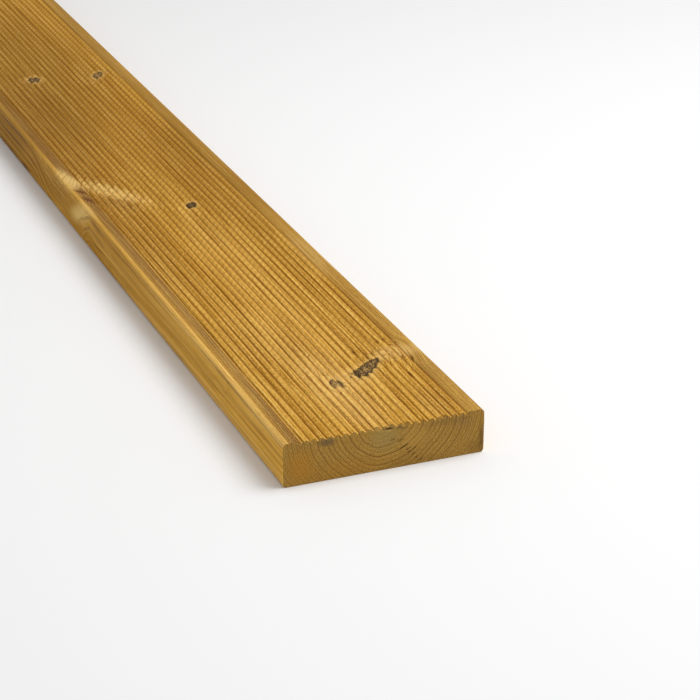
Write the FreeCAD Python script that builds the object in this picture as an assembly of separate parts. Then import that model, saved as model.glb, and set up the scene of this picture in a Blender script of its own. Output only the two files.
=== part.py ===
"""Reeded softwood decking board, one length of moulded stock.

Millimetres. X runs along the board, Y across its width and Z up. The origin is
the middle of the plain underside, and the reeded walking face is on top.
"""

import FreeCAD, Part
import os
from math import atan2, cos, pi, sin

# Overall sizes of the board
length = 1800.0
width = 145.0
thickness = 32.0

# Rounded long edges
top_edge_radius = 3.0
bottom_edge_radius = 2.5

# Reeds, and the grooves with round roots between them
reed_pitch = 5.6
groove_depth = 1.7
groove_root_radius = 0.4

# Least width of the plain strip beside the outermost grooves
least_margin = 13.0

# As many reeds as the two plain strips leave room for, centred on the board
reed_count = int((width - 2 * least_margin) / reed_pitch)
first_groove = -reed_count * reed_pitch / 2

# A crown reaches the top face and runs into the groove's root in one tangent,
# so the distance between their centres follows from the pitch and the depth.
half_pitch = reed_pitch / 2
centre_distance = (half_pitch ** 2 + groove_depth ** 2) / (2 * groove_depth)
crown_radius = centre_distance - groove_root_radius
flank_angle = atan2(half_pitch, centre_distance - groove_depth)


def round_edge(y, z, radius, start, end):
    """An arc of the section about y, z, its angles taken from up toward +Y."""
    points = [
        FreeCAD.Vector(-length / 2, y + radius * sin(angle), z + radius * cos(angle))
        for angle in (start, (start + end) / 2, end)
    ]
    return Part.Arc(*points).toShape()


def flat_between(one_round, next_round):
    """The straight edge from the end of one round to the start of the next."""
    return Part.LineSegment(
        one_round.lastVertex().Point, next_round.firstVertex().Point
    ).toShape()


def crown(y, start, end):
    """A reed's rounded top, or the half of it that a plain strip begins with."""
    return round_edge(y, thickness - crown_radius, crown_radius, start, end)


def groove_root(y):
    root_centre = thickness - groove_depth + groove_root_radius
    return round_edge(y, root_centre, groove_root_radius, pi + flank_angle, pi - flank_angle)


def reeded_field():
    """Crowns and roots in turn, from the -Y plain strip to the +Y one."""
    edges = [crown(first_groove - half_pitch, 0, flank_angle)]
    for number in range(reed_count):
        groove = first_groove + number * reed_pitch
        edges.append(groove_root(groove))
        edges.append(crown(groove + half_pitch, -flank_angle, flank_angle))
    last_groove = first_groove + reed_count * reed_pitch
    edges.append(groove_root(last_groove))
    edges.append(crown(last_groove + half_pitch, -flank_angle, 0))
    return edges


def board_section():
    """The closed outline of the moulding, drawn at the board's -X end."""
    side = width / 2
    upper_y = side - top_edge_radius
    upper_z = thickness - top_edge_radius
    lower_y = side - bottom_edge_radius
    lower_left = round_edge(-lower_y, bottom_edge_radius, bottom_edge_radius, pi, 1.5 * pi)
    upper_left = round_edge(-upper_y, upper_z, top_edge_radius, -pi / 2, 0)
    reeds = reeded_field()
    upper_right = round_edge(upper_y, upper_z, top_edge_radius, 0, pi / 2)
    lower_right = round_edge(lower_y, bottom_edge_radius, bottom_edge_radius, pi / 2, pi)
    return Part.Wire([
        lower_left, flat_between(lower_left, upper_left),
        upper_left, flat_between(upper_left, reeds[0]),
        *reeds, flat_between(reeds[-1], upper_right),
        upper_right, flat_between(upper_right, lower_right),
        lower_right, flat_between(lower_right, lower_left),
    ])


def decking_board():
    """The section run out over the board's length, with both ends sawn square."""
    return Part.Face(board_section()).extrude(FreeCAD.Vector(length, 0, 0))


os.makedirs("parts", exist_ok=True)
decking_board().exportStep("parts/decking_board.step")
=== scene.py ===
"""The looks of a reeded softwood decking board: its grown wood, its knots and its sawn ends.

Metres in the board's own frame: X along it with the shown end at +X, Y across, Z up. The wood
is one solid pattern in millimetres, so its rings run on from the ends into every long face.
"""

from math import atan2, cos, degrees, hypot, pi, radians, sin
from types import SimpleNamespace

import bpy
import numpy as np
from mathutils import Matrix, Vector
from mathutils import noise as wander
from mathutils.geometry import delaunay_2d_cdt


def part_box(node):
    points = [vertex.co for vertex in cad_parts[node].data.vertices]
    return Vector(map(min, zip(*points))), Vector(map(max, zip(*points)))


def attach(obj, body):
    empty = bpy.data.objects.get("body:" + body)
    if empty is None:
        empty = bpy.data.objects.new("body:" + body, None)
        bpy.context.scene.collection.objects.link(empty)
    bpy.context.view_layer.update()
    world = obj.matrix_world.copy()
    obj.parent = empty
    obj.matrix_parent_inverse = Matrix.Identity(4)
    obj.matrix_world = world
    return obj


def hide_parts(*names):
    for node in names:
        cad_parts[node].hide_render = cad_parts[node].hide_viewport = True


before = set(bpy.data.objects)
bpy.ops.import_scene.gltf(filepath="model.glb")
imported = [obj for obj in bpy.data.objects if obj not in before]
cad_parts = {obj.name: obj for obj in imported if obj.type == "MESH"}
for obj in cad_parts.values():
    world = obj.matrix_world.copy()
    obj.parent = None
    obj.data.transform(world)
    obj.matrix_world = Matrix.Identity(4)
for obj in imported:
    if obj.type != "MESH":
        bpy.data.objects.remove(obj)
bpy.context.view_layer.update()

# Overall sizes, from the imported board
low_corner, high_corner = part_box("decking_board")
length, width, thickness = high_corner - low_corner
side = width / 2

# The moulded section, as the board's source has it
top_edge_radius = 0.003
bottom_edge_radius = 0.0025
reed_pitch = 0.0056
groove_depth = 0.0017
groove_root_radius = 0.0004
least_margin = 0.013
half_pitch = reed_pitch / 2
reed_count = int((width - 2 * least_margin) / reed_pitch)
first_groove = -reed_count * half_pitch
centre_distance = (half_pitch ** 2 + groove_depth ** 2) / (2 * groove_depth)
crown_radius = centre_distance - groove_root_radius
flank_angle = atan2(half_pitch, centre_distance - groove_depth)
field_edge = -first_groove + half_pitch

# Camera, solved from the photographed edges of the board
camera_place = Vector((2.1422, -0.5344, 0.7030))
camera_turn = 67.723
camera_pitch = 24.478
camera_roll = 0.259
camera_lens = 117.43

# Millimetres in a metre
mm = 1000

# How far along the board the camera's line of sight moves per unit of depth
sight_slant = 1.98

# Where the plain strips and the arrises begin, out from the middle, and the heights between
# which the look of the reeded face comes in, in millimetres
strip_starts = (59.0, 59.6)
arris_starts = (68.3, 68.9)
upper_starts = (27.5, 29.5)

# Spacing in millimetres of the rings near the pith, of the cutter's chatter along and across the
# board, and of the fine lines on the left and right strips; and how often a ring is a strong one
ring_spacing = 3.13
chatter_along, chatter_across = 8.7, 5.6
left_line_spacing, right_line_spacing = 1.65, 1.35
strong_year, strong_every = 7.0, 2.28


class Number:
    """A value in a material's nodes, with which formulas are written as plain arithmetic."""

    def __init__(self, socket):
        self.socket = socket

    def __add__(self, other):
        return maths("ADD", self, other)

    def __radd__(self, other):
        return maths("ADD", other, self)

    def __sub__(self, other):
        return maths("SUBTRACT", self, other)

    def __rsub__(self, other):
        return maths("SUBTRACT", other, self)

    def __mul__(self, other):
        return maths("MULTIPLY", self, other)

    def __rmul__(self, other):
        return maths("MULTIPLY", other, self)

    def __truediv__(self, other):
        return maths("DIVIDE", self, other)

    def __rtruediv__(self, other):
        return maths("DIVIDE", other, self)


def feed(socket, value):
    """Links a Number to a socket, or sets the socket to a constant."""
    if isinstance(value, Number):
        socket.id_data.links.new(value.socket, socket)
    else:
        socket.default_value = value


def maths(operation, *values):
    tree = next(v for v in values if isinstance(v, Number)).socket.id_data
    node = tree.nodes.new("ShaderNodeMath")
    node.operation = operation
    for socket, value in zip(node.inputs, values):
        feed(socket, value)
    return Number(node.outputs[0])


def join(tree, x, y, z):
    """A vector of three values."""
    node = tree.nodes.new("ShaderNodeCombineXYZ")
    for socket, value in zip(node.inputs, (x, y, z)):
        feed(socket, value)
    return Number(node.outputs[0])


def split(vector):
    node = vector.socket.id_data.nodes.new("ShaderNodeSeparateXYZ")
    feed(node.inputs[0], vector)
    return [Number(output) for output in node.outputs]


def stretch(vector, scale):
    node = vector.socket.id_data.nodes.new("ShaderNodeVectorMath")
    node.operation = "MULTIPLY"
    feed(node.inputs[0], vector)
    node.inputs[1].default_value = scale
    return Number(node.outputs[0])


def noise(vector, size, detail=2.0, roughness=0.5):
    """Soft noise about 0.5, its blotches of that size in millimetres along, across and up."""
    node = vector.socket.id_data.nodes.new("ShaderNodeTexNoise")
    finer = vector.socket.id_data.nodes.new("ShaderNodeMapping")
    feed(finer.inputs["Vector"], vector)
    finer.inputs["Scale"].default_value = [1 / s for s in size]
    feed(node.inputs["Vector"], Number(finer.outputs[0]))
    node.inputs["Scale"].default_value = 1.0
    node.inputs["Detail"].default_value = detail
    node.inputs["Roughness"].default_value = roughness
    return Number(node.outputs[0])


def ramp(value, start, end, low=0.0, high=1.0):
    """A smooth step from low to high, as value goes from start to end."""
    node = value.socket.id_data.nodes.new("ShaderNodeMapRange")
    node.interpolation_type = "SMOOTHSTEP"
    for socket, number in zip(node.inputs[:5], (value, start, end, low, high)):
        feed(socket, number)
    return Number(node.outputs[0])


def hump(value, middle, half):
    """1 at the middle, falling smoothly to 0 at half a width on each side."""
    return ramp(maths("ABSOLUTE", value - middle), 0.0, half, 1.0, 0.0)


def display(red, green, blue):
    """A colour as a screen shows it, 0 to 255, in the linear light that shaders use."""
    return [((c / 255 + 0.055) / 1.055) ** 2.4 for c in (red, green, blue)] + [1.0]


def blend(share, colour, other):
    """A colour with a share of another one over it."""
    node = share.socket.id_data.nodes.new("ShaderNodeMix")
    node.data_type = "RGBA"
    feed(node.inputs[0], share)
    feed(node.inputs[6], colour)
    feed(node.inputs[7], other)
    return Number(node.outputs[2])


def tint(colour, share, screen_colour):
    """A colour with a share of a screen's colour over it."""
    return blend(share, colour, display(*screen_colour))


# Knots, in millimetres: along from the shown end, across from the middle and up from the
# underside, their half sizes in those directions, and their turn in the face.
# Tone is how dark they are, pale how light their blotches are, bend how far the grain goes round
# them, gap whether their near half is open, and ragged how uneven their edge is. Taper narrows
# one end, and lean slants them with the depth.
knots = (
    dict(at=(91.5, 25.9, 28), half=(19.0, 5.5, 6.5), turn=47, tone=0.95, bend=0.5, gap=0,
         pale=0.9, taper=0.52, lean=0.4, ragged=1.0),
    dict(at=(74, -5.2, 24), half=(8.2, 4.6, 16), turn=0, tone=0.80, bend=0.5, gap=1, pale=0.9),
    dict(at=(437.0, 12.0, 24), half=(7.2, 4.2, 16), turn=24, tone=0.9, bend=0.5, gap=0,
         pale=0.0, lean=0.7, ragged=0.6),
    dict(at=(812, -21, 24), half=(8, 6, 20), turn=10, tone=0.9, bend=0.7, gap=0),
    dict(at=(804, 40, 24), half=(11, 4.5, 16), turn=30, tone=0.8, bend=0.5, gap=0, lean=0.4),
    dict(at=(1183, 8, 22), half=(7, 5, 24), turn=0, tone=1.0, bend=0.7, gap=0),
    dict(at=(1190, -50, 24), half=(10, 4.2, 16), turn=-30, tone=0.8, bend=0.5, gap=0),
    dict(at=(1552, 26, 24), half=(9, 7, 20), turn=15, tone=0.9, bend=0.7, gap=0),
    dict(at=(1547, -34, 24), half=(10, 4, 16), turn=-25, tone=0.9, bend=0.5, gap=0),
    dict(at=(452, -30, 3), half=(8, 6, 12), turn=0, tone=0.9, bend=0.7, gap=0),
    dict(at=(818, 22, 2), half=(9, 7, 12), turn=0, tone=0.9, bend=0.7, gap=0),
)

# Grain that swirls round knots below the face, placed in the same way
swirls = (
    dict(at=(489, -64, 31), half=(20, 5, 6), turn=-15, bend=0.5),
    dict(at=(505, -47, 30), half=(38, 8, 6), turn=-30, bend=0.6),
)

# Soft patches, placed in the same way, with their share and colour: paler or browner wood, painted
# light and shade on the left side, and a darker far part of the board.
# The flame is the one without chatter marks.
patches = (
    # Darker over the far part of the board, away from the shown end
    dict(at=(700, 0, 16), half=(420, 90, 60), turn=0, share=0.42, colour=(140, 96, 16)),
    dict(at=(440, -48, 31), half=(240, 26, 20), turn=0, share=0.45, colour=(136, 90, 16)),
    dict(at=(500, 50, 31), half=(240, 44, 24), turn=0, share=0.42, colour=(136, 92, 14)),
    # These two also darken the far part of the board
    dict(at=(690, -50, 16), half=(190, 70, 50), turn=0, share=0.60, colour=(118, 74, 0)),
    dict(at=(900, -30, 16), half=(330, 110, 60), turn=0, share=0.48, colour=(130, 86, 8)),
    # Painted shade on the middle and far part of the left side
    dict(at=(400, -72, 10), half=(280, 10, 26), turn=0, share=0.34, colour=(148, 94, 0)),
    dict(at=(25, 46, 31), half=(42, 16, 10), turn=0, share=0.50, colour=(150, 100, 30)),
    dict(at=(70, -8, 31), half=(110, 26, 20), turn=0, share=0.60, colour=(240, 198, 118)),
    dict(at=(260, 4, 31), half=(240, 30, 20), turn=0, share=0.40, colour=(240, 190, 92)),
    dict(at=(165, -24, 31), half=(80, 30, 12), turn=0, share=0.35, colour=(240, 196, 104)),
    # Paler wood on the left side near the shown end, partly painted light on a face the lamp does not
    # reach
    dict(at=(150, -72, 16), half=(330, 14, 30), turn=0, share=0.45, colour=(238, 180, 66)),
    dict(at=(108, 52, 31), half=(17, 26, 9), turn=0, share=0.60, colour=(234, 196, 122)),
    dict(at=(75, -4.5, 31), half=(19, 9, 8), turn=0, share=0.50, colour=(240, 200, 122)),
    dict(at=(462, -42, 31), half=(30, 15, 8), turn=-30, share=0.50, colour=(140, 98, 44)),
    dict(at=(497, -42, 31), half=(66, 15, 9), turn=-31, share=0.72, colour=(246, 208, 126),
         lean=-2.5, flame=1),
    dict(at=(532, -68, 31), half=(40, 9, 8), turn=0, share=0.60, colour=(240, 204, 128)),
    dict(at=(545, -52, 31), half=(80, 11, 9), turn=0, share=0.30, colour=(136, 92, 20)),
    dict(at=(570, 56, 31), half=(90, 9, 9), turn=0, share=0.35, colour=(140, 96, 20)),
    dict(at=(380, 7, 31), half=(60, 16, 9), turn=0, share=0.30, colour=(150, 104, 20)),
    dict(at=(78, 64, 31), half=(42, 9, 9), turn=0, share=0.30, colour=(150, 112, 60)),
    # Painted shade low on the left side, against the light thrown up from the floor
    dict(at=(440, -72, 8), half=(340, 8, 40), turn=0, share=0.46, colour=(176, 122, 0)),
    dict(at=(455, -70, 30), half=(40, 4, 5), turn=0, share=0.45, colour=(240, 196, 116)),
    dict(at=(545, -72, 22), half=(52, 6, 11), turn=0, share=0.45, colour=(138, 98, 38)),
    dict(at=(300, 64, 31), half=(60, 12, 8), turn=0, share=0.35, colour=(218, 180, 108)),
)

# Short dark flecks in the top face: along, across, half sizes and turn
flecks = (
    (119, 25.6, 5.0, 1.3, -5), (123, -6.5, 2.2, 0.8, 15), (137, -12.5, 2.2, 0.8, 15),
    (174, 0.5, 2.5, 0.9, 0), (107, 31.0, 1.2, 3.0, 10), (94, 60.5, 7.0, 1.1, 12),
    (99, 55.0, 5.0, 0.8, 14), (134, 53.0, 8.0, 1.2, -14), (126, 58.0, 6.0, 1.0, -14),
    (74, 12.5, 1.6, 3.4, 0), (60, -7.5, 1.6, 0.9, 0), (69.5, -1.8, 5.0, 1.3, -14),
    (73, 0.5, 1.3, 1.8, 0), (112, 36.5, 4.5, 0.8, 5), (117, 41.5, 6.0, 0.8, 8),
    (87, 52.5, 6.0, 1.3, 8), (105, 42.0, 7.0, 1.1, 4), (131, 47.5, 6.0, 1.2, -12),
    (95, 47.0, 4.5, 1.1, 10), (124, 57.5, 3.5, 1.2, 0), (70, 48.5, 9.0, 1.0, 0),
    (500, -64.5, 13.0, 4.4, -28), (479, -63.5, 15.0, 4.4, -20), (499, -64.5, 8.0, 2.4, -28),
    (478, -63.5, 10.0, 2.4, -20),
)

# Pale wood on the left side beside the knot in its edge: along, up and across
side_pale = dict(at=(476, 22, -72), half=(46, 12, 6), turn=-20)

# Dark lines on the left side: along, up, half sizes, turn and share
side_flecks = (
    (60, 20.2, 48, 0.9, 0, 0.38), (95, 30.0, 100, 0.8, 0.3, 0.50), (150, 11.5, 26, 1.5, 1, 0.35),
    (30, 12.5, 30, 0.8, 0, 0.25), (255, 30.3, 60, 0.8, -1, 0.35), (345, 27.5, 70, 0.8, -2, 0.45),
    (350, 19.5, 70, 0.8, -1, 0.45), (425, 27.3, 26, 1.5, 3, 0.50), (456, 25.5, 16, 2.0, -24, 0.42),
    (474, 18.0, 15, 2.2, -28, 0.30), (424, 18.6, 28, 1.6, 2, 0.50), (456, 16.0, 16, 2.2, -24, 0.42),
    (425, 10.0, 28, 1.8, -3, 0.40), (586, 14.5, 22, 1.8, 22, 0.40), (612, 24.0, 20, 1.8, 17, 0.50),
    (602, 11.5, 20, 1.7, 22, 0.40), (628, 17.0, 18, 1.7, 5, 0.50), (690, 28.0, 70, 2.1, -1, 0.80),
    (698, 18.0, 68, 2.1, -1, 0.70), (655, 3.4, 22, 2.2, 0, 0.90), (712, 3.2, 56, 2.0, 0, 0.70),
)

# Heights of the longest lines on the sides, and their shares
long_lines = ((29.3, 0.70), (20.3, 0.60), (15.0, 0.45), (6.0, 0.35))

# Drying splits in the shown end: where each starts and ends, across and up, and its half width
splits = (
    ((3.4, 20.6), (7.2, 22.2), 0.20),
    ((8.3, 18.3), (14.0, 21.5), 0.16),
    ((9.7, 13.1), (17.4, 17.0), 0.32),
    ((14.4, 11.6), (19.4, 13.8), 0.20),
    ((15.7, 9.5), (19.2, 11.2), 0.22),
    ((19.4, 11.6), (22.8, 13.4), 0.20),
    ((18.2, 7.1), (22.4, 9.2), 0.20),
    ((21.0, 4.9), (24.6, 6.6), 0.16),
    ((24.7, 2.1), (27.6, 4.0), 0.20),
)
split_depth = 2.2

# Stains on the shown end: across, up, half sizes, share and colour
stains = (
    (-30.0, 6.0, 40.0, 9.0, 0.25, (170, 112, 26)),
    (-60.0, 14.0, 12.0, 14.0, 0.45, (178, 118, 28)),
    (0.0, 24.0, 13.0, 12.0, 0.40, (150, 134, 82)),
    (-41.5, 28.0, 7.0, 3.6, 0.60, (82, 74, 60)),
    (-58.0, 29.0, 12.0, 4.0, 0.14, (104, 80, 48)),
    (12.0, 29.5, 5.0, 2.6, 0.50, (84, 70, 44)),
    (44.0, 28.5, 18.0, 4.0, 0.28, (106, 80, 48)),
    (57.0, 25.0, 9.0, 6.0, 0.28, (112, 78, 54)),
    (18.0, 3.0, 24.0, 5.0, 0.24, (120, 84, 30)),
    (67.0, 5.0, 9.0, 6.0, 0.34, (112, 80, 34)),
    (70.5, 12.0, 2.6, 12.0, 0.55, (86, 62, 28)),
    (22.0, 20.0, 14.0, 9.0, 0.25, (196, 152, 72)),
)


def seen_from(where, spot, grow=(1, 1, 1)):
    """A place seen from a spot: how far forward, sideways and out it lies, in half sizes."""
    along, across, up = where
    half = [h * g for h, g in zip(spot["half"], grow)]
    at_along, at_across, at_up = spot["at"]
    slant = sight_slant * spot.get("lean", 0)
    if slant:
        along = maths("MULTIPLY_ADD", up, slant, along)
        at_along += thickness * mm * slant
    turn_cos, turn_sin = cos(radians(spot["turn"])), sin(radians(spot["turn"]))
    start = -(at_along * turn_cos + at_across * turn_sin) / half[0]
    across_part = maths("MULTIPLY_ADD", across, turn_sin / half[0], start)
    forward = maths("MULTIPLY_ADD", along, turn_cos / half[0], across_part)
    start = (at_along * turn_sin - at_across * turn_cos) / half[1]
    across_part = maths("MULTIPLY_ADD", across, turn_cos / half[1], start)
    sideways = maths("MULTIPLY_ADD", along, -turn_sin / half[1], across_part)
    if "taper" in spot:
        sideways = sideways * maths("MULTIPLY_ADD", forward, spot["taper"], 1.0)
    upward = maths("MULTIPLY_ADD", up, 1 / half[2], -at_up / half[2])
    flat = maths("MULTIPLY_ADD", forward, forward, sideways * sideways)
    return forward, sideways, maths("SQRT", maths("MULTIPLY_ADD", upward, upward, flat))


def fading(where, spot, share, inner=0.3):
    """A share that is whole in the heart of a spot and gone at its edge."""
    return ramp(seen_from(where, spot)[2], inner, 1.0, share, 0.0)


def growth_years(along, across, up, place):
    """Distance and years of growth from the pith to a place, and how far the grain is bent there."""
    pith_across = -3.0 + 0.8 * maths("SINE", along / 230)
    pith_up = 33.0 + 0.6 * maths("SINE", along / 150) - ramp(along, 900, 1800, 0, 4)
    bent = across
    wider = (1.8, 1.7, 1.6)
    for knot in knots + swirls:
        _, sideways, reach = seen_from((along, across, up), knot, wider)
        weaker = maths("POWER", maths("MAXIMUM", reach, 1.0), -2.6)
        most = -knot["bend"] * knot["half"][1] * wider[1]
        bent = maths("MULTIPLY_ADD", sideways * most, weaker, bent)
    bent = bent - 4.0 * (hump(along, 111, 36) * ramp(across, 34, 50))
    sway = noise(place, (260, 22, 22), 1.0) - 0.5
    right = bent - pith_across + 1.8 * sway
    right = right - ramp(right, 0.0, 22.0, 0.0, 6.6) - 0.05 * maths("MAXIMUM", right, 0.0)
    depth = pith_up - up
    radius = maths("SQRT", right * right + depth * depth)
    steepness = depth / maths("MAXIMUM", radius, 0.1)
    square = steepness * steepness
    radius = radius / (1.0 + 0.035 * (8.0 * square * square - 8.0 * square + 1.0))

    # The rings swell out round the knot in the left edge
    left = ramp(across, -60, -30, 1, 0)
    swelling = ramp(along, 450, 505) * ramp(along, 545, 640, 1, 0)
    radius = radius - left * (5.5 * swelling - 1.2 * hump(along, 447, 16))
    tight = maths("MINIMUM", maths("MAXIMUM", radius - 42.0, 0.0), 17.0)
    outer = maths("MAXIMUM", radius - 59.0, 0.0)
    return radius, radius / ring_spacing + 0.0095 * tight * tight + 0.323 * outer, bent


def wood_point(tree):
    """The place of a point of the wood in millimetres, its years of growth and its fine patterns."""
    position = tree.nodes.new("ShaderNodeTexCoord")
    x, across, up = split(stretch(Number(position.outputs["Object"]), (mm, mm, mm)))
    along = length / 2 * mm - x
    place = join(tree, along, across, up)
    facing_x, facing_y, _ = split(Number(position.outputs["Normal"]))
    outward = maths("ABSOLUTE", across)
    radius, years, bent = growth_years(along, across, up, place)
    grain_place = join(tree, along, bent, up)
    at = SimpleNamespace(
        along=along, across=across, up=up, where=(along, across, up), place=place,
        outward=outward, radius=radius, bent=bent,
        end_grain=ramp(maths("ABSOLUTE", facing_x), 0.5, 0.8),
        side_face=ramp(maths("ABSOLUTE", facing_y), 0.6, 0.9),
        upper=ramp(up, *upper_starts),
        on_strip=ramp(outward, *strip_starts),
        on_left=ramp(across, -10, 10, 1.0, 0.0),
        clear=ramp(along, 150, 600, 1.0, 0.55),
        patchy=ramp(noise(place, (150, 14, 14), 1.0), 0.36, 0.6, 0.50, 1.0),
        fibres=noise(grain_place, (110, 1.3, 1.3), 3.0, 0.65),
        strands=noise(grain_place, (300, 3.4, 3.4), 2.0, 0.6),
        specks=noise(place, (2.0, 0.75, 0.75), 1.0, 0.5),
        mottle=noise(place, (3.0, 1.9, 1.9), 2.0, 0.6),
        streaks=noise(place, (520, 9, 9), 2.0, 0.5),
    )
    at.calm = 1.0 - 0.6 * at.on_strip * at.upper

    # Thin dark lines of late wood, stronger every second year or so
    years = years + 0.94 + 0.35 * (noise(place, (120, 9, 9), 1.0) - 0.5)
    year = maths("FLOOR", years)
    at.season = years - year
    at.strength = 0.70 + 0.30 * maths("COSINE", (year - strong_year) * (2 * pi / strong_every))
    at.pith = ramp(radius, 3.0, 20.0, 0.3, 1.0)
    late = ramp(at.season, 0.55, 0.90) * ramp(at.season, 0.94, 1.0, 1.0, 0.0)
    at.late = late * at.strength * at.pith
    return at


def plain_wood(at):
    """The wood's own colour, in broad streaks and finer strands."""
    colour = blend(ramp(at.streaks, 0.35, 0.65), display(214, 163, 60), display(196, 144, 42))
    colour = tint(colour, ramp(at.strands, 0.51, 0.66) * 0.35, (164, 110, 28))
    return tint(colour, ramp(at.strands, 0.49, 0.34) * 0.30, (238, 192, 94))


def over_strips(colour, at):
    """The plain strips, tinted greyer with fine dark lines, and the left arris made paler, partly pale
    wood and partly painted highlight.
    """
    wide_strip = at.on_strip * at.upper
    left_strip = wide_strip * ramp(at.outward, 68.1, 68.7, 1.0, 0.0) * at.on_left
    right_strip = wide_strip - wide_strip * at.on_left
    colour = tint(colour, left_strip * 0.95, (146, 107, 54))
    colour = tint(colour, right_strip * 0.55, (166, 128, 66))
    turns_per_mm = ramp(at.on_left, 0, 1, 2 * pi / right_line_spacing, 2 * pi / left_line_spacing)
    strip_lines = maths("SINE", at.bent * turns_per_mm + 5.0 * (at.strands - 0.5))
    lined = ramp(strip_lines, 0.0, 0.7) * ramp(at.patchy, 0.5, 0.9, 0.5, 1.0)
    inward = ramp(at.outward, 59.6, 60.6) * ramp(at.outward, 65.5, 67.5, 1.0, 0.25)
    colour = tint(colour, left_strip * lined * inward * 0.85, (78, 57, 34))
    colour = tint(colour, right_strip * lined * 0.55, (104, 74, 30))
    # The left arris made paler, partly pale wood and partly painted highlight, less so further off
    arris = ramp(at.outward, *arris_starts) * at.upper * at.on_left
    return tint(colour, arris * ramp(at.along, 100, 420, 0.92, 0.25), (238, 196, 116))


def over_sides(colour, at):
    """The lines along both sides, which rise and fall round the knot in the left edge, with painted
    shade high on the sides and painted light low on them near the shown end.
    """
    along, up = at.along, at.up
    fall = ramp(along, 150, 430, 0.0, 4.5) - 3.5 * hump(along, 450, 28)
    fall = fall + 15.0 * ramp(along, 450, 490) * ramp(along, 555, 630, 1.0, 0.0)
    risen = up + fall - ramp(along, 590, 640, 0.0, 2.5)
    side_lines = noise(join(up.socket.id_data, along, at.across, risen), (700, 12, 2.3), 2.0, 0.6)
    steady = at.side_face * ramp(maths("ABSOLUTE", along - 497), 14, 36, 0.15, 1.0)
    colour = tint(colour, steady * ramp(side_lines, 0.53, 0.61) * 0.60, (142, 92, 20))
    colour = tint(colour, steady * ramp(side_lines, 0.47, 0.38) * 0.40, (242, 192, 92))
    for height, share in long_lines:
        thin = hump(risen + 0.8 * (at.strands - 0.5), height, 0.70) * steady
        colour = tint(colour, thin * share, (118, 70, 10))
    # Painted shade: the upper part of both sides darker, less so near the shown end
    top_shade = ramp(up, 5, 19, 0.0, 0.24) * ramp(along, 20, 140, 0.3, 1.0)
    colour = tint(colour, at.side_face * top_shade, (146, 96, 12))
    # Painted light: the lower part of the sides paler near the shown end
    low = ramp(up, 4, 11, 0.45, 0.0) * ramp(along, 260, 400, 1.0, 0.0)
    colour = tint(colour, at.side_face * low, (250, 202, 112))
    on_side = (along, up, at.across)
    colour = tint(colour, fading(on_side, side_pale, 0.72, inner=0.1), (240, 204, 124))
    for at_along, at_up, half_along, half_up, turn, share in side_flecks:
        spot = dict(at=(at_along, at_up, -side * mm), half=(half_along, half_up, 3), turn=turn)
        colour = tint(colour, fading(on_side, spot, share), (90, 52, 20))
    return colour


def over_grain(colour, at):
    """The rings where they reach the long faces, then fibres, specks and short dark flecks."""
    years = at.late * at.patchy * (0.35 + 0.60 * at.clear) * (1 - at.side_face)
    colour = tint(colour, years, (138, 88, 8))
    colour = tint(colour, hump(at.strands, 0.5, 0.02) * 0.45, (142, 92, 14))
    grain = (0.45 + 0.55 * at.upper) * at.clear * at.calm * ramp(at.along, 40, 260, 1.1, 1.0)
    colour = tint(colour, ramp(at.fibres, 0.52, 0.62) * (0.6 * grain), (150, 100, 20))
    colour = tint(colour, ramp(at.fibres, 0.48, 0.38) * (0.5 * grain), (250, 206, 110))
    flecked = (0.15 + 0.85 * at.upper) * at.clear * at.calm
    colour = tint(colour, ramp(at.specks, 0.54, 0.66) * (0.36 * flecked), (136, 86, 18))
    colour = tint(colour, ramp(at.specks, 0.46, 0.34) * (0.38 * flecked), (250, 208, 118))
    for at_along, at_across, half_along, half_across, turn in flecks:
        spot = dict(at=(at_along, at_across, 31), half=(half_along, half_across, 3), turn=turn)
        colour = tint(colour, fading(at.where, spot, 0.80), (104, 62, 20))
    return colour


def over_reeds(colour, at, flame):
    """Painted light and shade on the reeds: the chatter's shade as darker stripes, painted light in
    the groove bottoms, and painted shade on the left-facing flanks and on the crests.
    """
    # Painted shade: the cutter's chatter ripples drawn as darker stripes across the reeds, stronger
    # further off
    beads = ramp(at.chatter, -1.0, 1.0) * at.field * ramp(at.along, 60, 160, 0.4, 1.0) * (1 - flame)
    colour = tint(colour, beads * ramp(at.along, 200, 420, 0.22, 0.36), (146, 96, 20))
    reed = maths("FRACT", (at.across - first_groove * mm) / (reed_pitch * mm) + 0.3)
    # Painted light: the groove bottoms made paler against the shade that falls in them, less so
    # further off
    bottom = ramp(reed, 0.14, 0.22) * ramp(reed, 0.32, 0.38, 1.0, 0.0) * at.field
    colour = tint(colour, bottom * ramp(at.along, 300, 600, 0.35, 0.15), (246, 200, 100))
    # Painted shade on the flanks that face left, away from the lamp, uneven along the grooves and
    # fading further off
    flank = ramp(reed, 0.36, 0.42) * ramp(reed, 0.45, 0.57, 1.0, 0.0) * at.field
    shade_variation = ramp(noise(at.place, (55, 4, 4), 1.0), 0.35, 0.65, 0.35, 1.0)
    colour = tint(colour, flank * shade_variation * ramp(at.along, 200, 560, 0.64, 0.10), (116, 72, 12))
    # Painted shade on the crests, where the lamp lights the reeds most, less further off
    crest = hump(reed, 0.90, 0.12) * at.field
    return tint(colour, crest * ramp(at.along, 60, 500, 0.40, 0.18), (150, 100, 26))


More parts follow.
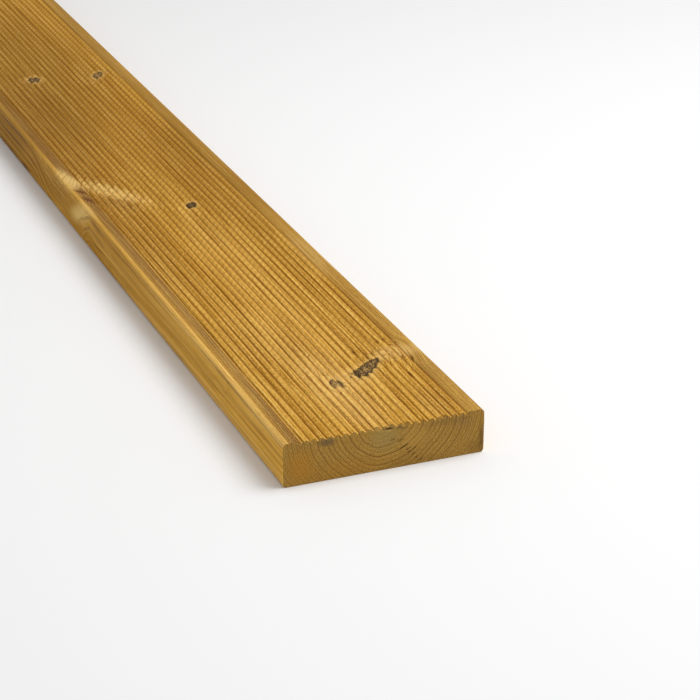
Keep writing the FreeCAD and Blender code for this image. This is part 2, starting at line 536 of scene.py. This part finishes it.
def over_knots(colour, at):
    """The knots, each with a pale halo, a dark skin and a blotchy heart."""
    for knot in knots:
        forward, _, reach = seen_from(at.where, knot)
        ragged = knot.get("ragged", min(0.7, 0.045 * knot["half"][0]))
        reach = reach + ragged * (at.mottle - 0.5)
        closed = ramp(forward, -0.9, -0.1) if knot["gap"] else 1.0
        colour = tint(colour, ramp(reach, 1.0, 2.1, 1.0, 0.0) * (0.40 * knot["tone"]), (236, 194, 116))
        blotches = ramp(at.mottle + 0.6 * (at.specks - 0.5), 0.43, 0.57) * knot.get("pale", 0.6)
        heart = blend(blotches, display(66, 48, 34), display(176, 140, 82))
        within = ramp(reach, 0.90, 1.12, 1.0, 0.0) * closed
        colour = blend(within * (0.95 * knot["tone"]), colour, heart)
        skin = hump(reach, 0.97, 0.24) * closed * ramp(at.mottle, 0.36, 0.56, 0.35, 1.0)
        colour = tint(colour, skin * knot["tone"], (54, 38, 25))
    return colour


def end_wood(at):
    """The sawn end's colour, darker because end grain soaks up more of the treatment."""
    colour = blend(ramp(at.pores, 0.50, 0.64) * 0.40, display(170, 130, 58), display(130, 94, 36))
    colour = tint(colour, ramp(at.pores, 0.48, 0.36) * 0.40, (206, 166, 88))
    warm = ramp(at.season, 0.10, 0.92) * ramp(at.season, 0.94, 1.0, 1.0, 0.0) * at.pith
    colour = tint(colour, warm * at.strength * 0.32, (112, 78, 26))
    colour = tint(colour, at.late * 0.60, (92, 61, 21))
    false_ring = hump(at.season, 0.36, 0.16) * ramp(noise(at.place, (90, 7, 7), 1.0), 0.42, 0.62)
    colour = tint(colour, false_ring * at.pith * 0.45, (104, 70, 22))
    on_end = (at.across, at.up, at.along)
    near_end = 40
    for at_across, at_up, half_across, half_up, share, stain in stains:
        spot = dict(at=(at_across, at_up, 0), half=(half_across, half_up, near_end), turn=0)
        reach = seen_from(on_end, spot)[2] + 1.2 * (at.mottle - 0.5)
        colour = tint(colour, ramp(reach, 0.2, 1.2, share, 0.0), stain)
    # Painted shade: a dark band along each drying split, deepening the shade inside it
    for (from_across, from_up), (to_across, to_up), half_width in splits:
        middle = ((from_across + to_across) / 2, (from_up + to_up) / 2, 0)
        rise, run = to_up - from_up, to_across - from_across
        spot = dict(at=middle, half=(hypot(rise, run) * 0.55, half_width + 0.45, near_end),
                    turn=degrees(atan2(rise, run)))
        colour = tint(colour, fading(on_end, spot, 0.50), (52, 34, 14))
    return colour


def treated_softwood():
    """The board's one material. All its sizes are millimetres."""
    material = bpy.data.materials.new("treated_softwood")
    material.use_nodes = True
    tree = material.node_tree
    shader = tree.nodes["Principled BSDF"]

    at = wood_point(tree)
    colour = over_strips(plain_wood(at), at)
    for patch in patches:
        share = fading(at.where, patch, patch["share"])
        if "flame" in patch:
            flame = share
        colour = tint(colour, share, patch["colour"])
    colour = over_grain(over_sides(colour, at), at)
    at.field = ramp(at.outward, 58.9, 59.6, 1.0, 0.0) * at.upper
    across_turns = at.across * (2 * pi / chatter_across)
    at.chatter = maths("SINE", at.along * (2 * pi / chatter_along) - across_turns)
    colour = over_knots(over_reeds(colour, at, flame), at)

    # Wood inside a split or a tear is end grain too, and is painted dark where it lies deeper than
    # either end: painted shade in the hollow, and the dark pith where the end is torn at it
    at.pores = noise(at.place, (8, 1.2, 1.2), 2.0, 0.6)
    behind = maths("MINIMUM", at.along, length * mm - at.along)
    inner = ramp(at.outward, 70.5, 71.5, 1.0, 0.0) * ramp(at.up, 29.4, 29.9, 1.0, 0.0)
    inner = inner * ramp(at.up, 0.5, 1.0)
    colour = blend(maths("MAXIMUM", at.end_grain, inner), colour, end_wood(at))
    colour = tint(colour, inner * ramp(behind, 0.4, 1.4) * 0.9, (62, 40, 16))

    ridges = noise(at.place, (110, 1.3, 1.3), 3.0, 0.65)
    height = ridges * 0.25 + at.specks * 0.10 + at.pores * at.end_grain * 0.20
    height = height + at.field * at.chatter * 0.035
    bump = tree.nodes.new("ShaderNodeBump")
    bump.inputs["Distance"].default_value = 0.001
    feed(bump.inputs["Height"], height)
    feed(shader.inputs["Normal"], Number(bump.outputs[0]))
    feed(shader.inputs["Base Color"], colour)
    feed(shader.inputs["Roughness"], ramp(ridges, 0.3, 0.7, 0.62, 0.8))
    shader.inputs["Specular IOR Level"].default_value = 0.10
    return material


# Places where the shown end is torn, across and up: half sizes and depth
tears = (
    ((3.0, 30.3), (6.0, 2.5), 1.8),
    ((14.5, 31.0), (4.5, 1.8), 1.3),
    ((-4.5, 31.4), (3.0, 1.2), 1.0),
    ((41.5, 31.2), (3.0, 1.1), 1.0),
    ((-59.0, 31.0), (2.0, 1.2), 0.9),
)


def arc(y, z, radius, start, end, steps):
    """Points about y, z between two angles, which are taken from up toward +Y."""
    angles = np.linspace(start, end, steps + 1)
    return np.column_stack([y + radius * np.sin(angles), z + radius * np.cos(angles)])


def outline():
    """The section's closed outline, clockwise with +Y to the right, flats cut into short steps."""
    lower_y, upper_y = side - bottom_edge_radius, side - top_edge_radius
    upper_z = thickness - top_edge_radius
    crown_z = thickness - crown_radius
    root_z = thickness - groove_depth + groove_root_radius
    rounds = [
        arc(-lower_y, bottom_edge_radius, bottom_edge_radius, pi, 1.5 * pi, 4),
        arc(-upper_y, upper_z, top_edge_radius, -pi / 2, 0, 6),
        arc(-field_edge, crown_z, crown_radius, 0, flank_angle, 4),
    ]
    for number in range(reed_count + 1):
        groove = first_groove + number * reed_pitch
        last = number == reed_count
        rounds.append(arc(groove, root_z, groove_root_radius, pi + flank_angle, pi - flank_angle, 3))
        end, steps = (0, 4) if last else (flank_angle, 7)
        rounds.append(arc(groove + half_pitch, crown_z, crown_radius, -flank_angle, end, steps))
    rounds += [
        arc(upper_y, upper_z, top_edge_radius, 0, pi / 2, 6),
        arc(lower_y, bottom_edge_radius, bottom_edge_radius, pi / 2, pi, 4),
    ]
    points = []
    flat_step = 0.003
    for number, points_here in enumerate(rounds):
        following = rounds[(number + 1) % len(rounds)][0]
        points.extend(points_here)
        gap = hypot(*(following - points_here[-1]))
        if gap < 1e-6:
            points.pop()
            continue
        cuts = max(1, round(gap / flat_step))
        last_point = points_here[-1]
        points.extend(last_point + (following - last_point) * k / cuts for k in range(1, cuts))
    return np.array(points)


def stations():
    """Distances from the shown end of the skin's rows of points, close where there is relief."""
    coarse, growth, finest = 0.020, 0.2, 0.0005
    # Middle, half length and fineness of each stretch with relief: the ends and three knots
    details = [(0.0, 0.0, finest), (length, 0.0, finest), (0.090, 0.018, 0.0014),
               (0.073, 0.009, 0.0014), (0.437, 0.008, 0.0018)]
    places = [0.0]
    while places[-1] < length - finest:
        here = places[-1]
        step = min(fine + growth * max(0.0, abs(here - at) - half) for at, half, fine in details)
        places.append(here + min(step, coarse))
    places[-1] = length
    return np.array(places)


def rough(points, size, seed=0.0):
    """Smooth random heights from about -1 to 1 at points in millimetres."""
    return np.array([wander.noise(Vector(p) / size + Vector((seed, 0.3, 0.7))) for p in points])


def smooth_step(value):
    value = np.clip(value, 0, 1)
    return value * value * (3 - 2 * value)


def torn_depth(flat, shown):
    """How far a sawn end is torn back at points of it, in millimetres."""
    flat_mm = flat * mm
    spots = np.column_stack([flat_mm, np.full(len(flat), 0.0 if shown else 40.0)])
    depth = np.maximum(0.0, 0.35 * rough(spots, 7.0) - 0.05)
    fine = rough(spots, 1.3, 5.0)
    near_top = smooth_step((flat_mm[:, 1] - 28.5) / 3.0)
    depth += near_top * np.maximum(0.0, 0.30 + 0.55 * fine)
    if shown:
        for (across, up), (half_across, half_up), deep in tears:
            reach = np.hypot((flat_mm[:, 0] - across) / half_across, (flat_mm[:, 1] - up) / half_up)
            depth += deep * smooth_step((1.0 - reach + 0.25 * fine) * 1.6)
    return depth


def knot_relief(points):
    """Height of the wood in and round the knots, the heart rough and a fine gap about it."""
    height = np.zeros(len(points))
    for knot in knots:
        turn = Matrix.Rotation(radians(knot["turn"]), 3, "Z")
        from_heart = points - np.array(knot["at"])
        from_heart[:, 0] += (points[:, 2] - thickness * mm) * sight_slant * knot.get("lean", 0)
        local = from_heart @ np.array(turn) / np.array(knot["half"])
        local[:, 1] *= 1 + local[:, 0] * knot.get("taper", 0)
        reach = np.linalg.norm(local, axis=1)
        near = np.nonzero(reach < 1.5)[0]
        if len(near) == 0:
            continue
        heart = smooth_step((1.0 - reach[near]) * 4)
        height[near] += heart * (0.28 * rough(points[near], 2.6) - 0.10)
        height[near] -= 0.30 * np.exp(-((reach[near] - 1.0) / 0.16) ** 2) * knot["tone"]
    return height


def board_mesh():
    """The board's skin: the outline run along the stations, closed by two finely divided ends."""
    ring = outline()
    along = stations()
    count, rows = len(ring), len(along)
    step = np.roll(ring, -1, 0) - np.roll(ring, 1, 0)
    outward = np.column_stack([-step[:, 1], step[:, 0]]) / np.linalg.norm(step, axis=1)[:, None]
    skin = np.empty((rows, count, 3))
    skin[:, :, 0] = (length / 2 - along)[:, None]
    skin[:, :, 1:] = ring[None]

    # Relief of the knots, which only ever lowers the skin
    places = skin.reshape(-1, 3) * mm
    places[:, 0] = length / 2 * mm - places[:, 0]
    relief = np.minimum(knot_relief(places), 0.0).reshape(rows, count) / mm
    skin[:, :, 1:] += relief[:, :, None] * outward[None]

    # The sawn ends: a fine worn arris, and wood torn back a little behind it
    torn_reach = 0.006
    least_wear, wear_spread, wear_size = 0.00018, 0.00012, 1.9
    for row, sign in ((0, 1), (rows - 1, -1)):
        worn = least_wear + wear_spread * rough(skin[row] * mm, wear_size)
        skin[row, :, 1:] -= outward * worn[:, None]
        torn = torn_depth(skin[row, :, 1:], sign > 0) / mm
        for behind in range(rows):
            from_end = along[behind] if sign > 0 else length - along[behind]
            if from_end < torn_reach:
                skin[behind, :, 0] -= sign * torn * (1 - from_end / torn_reach)

    row, column = np.meshgrid(np.arange(rows - 1), np.arange(count), indexing="ij")
    next_column = (column + 1) % count
    quads = np.stack([
        row * count + column, (row + 1) * count + column,
        (row + 1) * count + next_column, row * count + next_column], -1).reshape(-1, 4)
    vertices = [skin.reshape(-1, 3)]
    faces = quads.tolist()
    total = rows * count
    for shown, first_ring in ((True, 0), (False, (rows - 1) * count)):
        flat, depth, triangles = end_cap(skin[0 if shown else rows - 1, :, 1:], shown)
        sign = 1 if shown else -1
        inner = flat[count:]
        vertices.append(np.column_stack([sign * (length / 2 - depth[count:]), inner]))
        for face in triangles:
            corners = [first_ring + c if c < count else total + c - count for c in face]
            faces.append(corners if shown else corners[::-1])
        total += len(inner)
    mesh = bpy.data.meshes.new("decking_board_wood")
    mesh.from_pydata(np.concatenate(vertices).tolist(), [], faces)
    mesh.validate()
    return mesh


def split_lines():
    """Outline and bottom of each drying split as points in metres, with the edges that bound it."""
    points, depths, edges = [], [], []
    cuts = 9
    bow = 0.35
    for start, end, half_width in splits:
        start, end = np.array(start), np.array(end)
        chord = end - start
        normal = np.array([-chord[1], chord[0]]) / hypot(*chord)
        first = len(points)
        for k in range(cuts + 1):
            open_here = sin(pi * k / cuts) ** 0.7 * (0.75 + 0.5 * chance_of(first + k))
            middle = start + chord * k / cuts - normal * bow * sin(pi * k / cuts)
            if k in (0, cuts):
                points.append(middle)
                depths.append(0.0)
                continue
            for offset, deep in ((half_width, 0), (-half_width, 0), (0, split_depth)):
                points.append(middle + normal * offset * open_here)
                depths.append(deep * open_here)
        last = len(points) - 1
        for lane in range(3):
            lane_points = [first] + [first + 1 + lane + 3 * k for k in range(cuts - 1)] + [last]
            edges += list(zip(lane_points[:-1], lane_points[1:]))
    return np.array(points) / mm, np.array(depths) / mm, edges


def chance_of(number):
    """A fixed random value from 0 to 1 for a number."""
    return (sin(number * 12.9898 + 4.1) * 43758.5453) % 1.0


def end_cap(ring, shown):
    """Points, depths and triangles of an end: the outline first, then splits and an inner grid."""
    grid = 0.0007 if shown else 0.0014
    split_clearance = 0.6
    count = len(ring)
    inner = []
    for number, z in enumerate(np.arange(grid, thickness, grid)):
        shift = grid / 2 * (number % 2)
        inner.extend((y, z) for y in np.arange(-side + shift, side, grid) if inside(y, z, grid * 0.45))
    inner = np.array(inner)
    edges = [(n, (n + 1) % count) for n in range(count)]
    split_points, split_depths, split_edges = split_lines()
    if not shown:
        split_points, split_depths, split_edges = split_points[:0], split_depths[:0], []
    else:
        clear = np.full(len(inner), True)
        for start, end, half_width in splits:
            start, chord = np.array(start) / mm, (np.array(end) - np.array(start)) / mm
            share = np.clip((inner - start) @ chord / (chord @ chord), 0, 1)
            gap = np.linalg.norm(inner - start - share[:, None] * chord, axis=1)
            clear &= gap > (half_width + split_clearance) / mm
        inner = inner[clear]
        edges += [(a + count, b + count) for a, b in split_edges]
    flat = np.concatenate([ring, split_points, inner])
    out, _, faces, _, _, _ = delaunay_2d_cdt([Vector(p) for p in flat], edges, [], 1, 1e-7)
    assert len(out) == len(flat)
    depth = torn_depth(flat, shown) / mm
    depth[count:count + len(split_depths)] += split_depths
    turned = []
    for a, b, c in faces:
        area = np.cross(flat[b] - flat[a], flat[c] - flat[a])
        turned.append((a, b, c) if area > 0 else (a, c, b))
    return flat, depth, turned


def inside(y, z, gap):
    """Whether a point of an end lies inside the section, at least a gap from its outline."""
    beyond = abs(y)
    if beyond > side - gap or z < gap or z > thickness - gap:
        return False
    if z > thickness - groove_depth - gap and beyond < field_edge:
        return False
    top = hypot(max(0, beyond - side + top_edge_radius), max(0, z - thickness + top_edge_radius))
    low = hypot(max(0, beyond - side + bottom_edge_radius), max(0, bottom_edge_radius - z))
    return top < top_edge_radius - gap and low < bottom_edge_radius - gap


def make_board():
    """The board's one piece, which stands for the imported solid."""
    mesh = board_mesh()
    board = bpy.data.objects.new("decking_board_wood", mesh)
    bpy.context.scene.collection.objects.link(board)
    mesh.shade_smooth()
    mesh.materials.append(treated_softwood())

    # The arris between an end and the long faces stays sharp
    sharp = mesh.attributes.new("sharp_edge", "BOOLEAN", "EDGE")
    ends_of_edge = {}
    for polygon in mesh.polygons:
        on_end = abs(polygon.normal[0]) > 0.9
        for key in polygon.edge_keys:
            ends_of_edge.setdefault(key, set()).add(on_end)
    for edge in mesh.edges:
        sharp.data[edge.index].value = len(ends_of_edge[edge.key]) > 1
    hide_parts("decking_board")
    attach(board, "root")


def make_camera():
    """The camera at the photograph's angle."""
    data = bpy.data.cameras.new("camera")
    data.lens = camera_lens
    camera = bpy.data.objects.new("camera", data)
    bpy.context.scene.collection.objects.link(camera)
    turn = Matrix.Rotation(radians(camera_turn), 4, "Z")
    pitch = Matrix.Rotation(radians(90 - camera_pitch), 4, "X")
    roll = Matrix.Rotation(radians(camera_roll), 4, "Z")
    camera.matrix_world = Matrix.Translation(camera_place) @ turn @ pitch @ roll
    bpy.context.scene.camera = camera


def make_floor():
    """A plain pale floor, far wider than the view."""
    reach, floor_z = 20.0, -0.0001
    mesh = bpy.data.meshes.new("floor")
    corners = [(x * reach, y * reach, floor_z) for x, y in ((-1, -1), (1, -1), (1, 1), (-1, 1))]
    mesh.from_pydata(corners, [], [(0, 1, 2, 3)])
    floor = bpy.data.objects.new("floor", mesh)
    bpy.context.scene.collection.objects.link(floor)
    material = bpy.data.materials.new("floor")
    material.use_nodes = True
    shader = material.node_tree.nodes["Principled BSDF"]
    shader.inputs["Base Color"].default_value = (0.86, 0.86, 0.86, 1)
    shader.inputs["Roughness"].default_value = 0.9
    mesh.materials.append(material)


def add_light(name, place, target, size, power):
    """A square lamp at a place, turned to its target."""
    data = bpy.data.lights.new(name, "AREA")
    data.shape = "SQUARE"
    data.size = size
    data.energy = power
    light = bpy.data.objects.new(name, data)
    bpy.context.scene.collection.objects.link(light)
    light.location = place
    light.rotation_mode = "QUATERNION"
    light.rotation_quaternion = (Vector(place) - Vector(target)).to_track_quat("Z", "Y")


def make_lights():
    """Even light from all round, and one large soft lamp above the far side."""
    world = bpy.data.worlds.new("studio")
    bpy.context.scene.world = world
    world.use_nodes = True
    background = world.node_tree.nodes["Background"]
    background.inputs["Color"].default_value = (1, 1, 1, 1)
    background.inputs["Strength"].default_value = 0.55
    add_light("overhead", (1.0, 1.0, 1.9), (0.5, 0, 0), 1.4, 34)


make_camera()
make_board()
make_floor()
make_lights()
bpy.context.scene.view_settings.view_transform = "Standard"
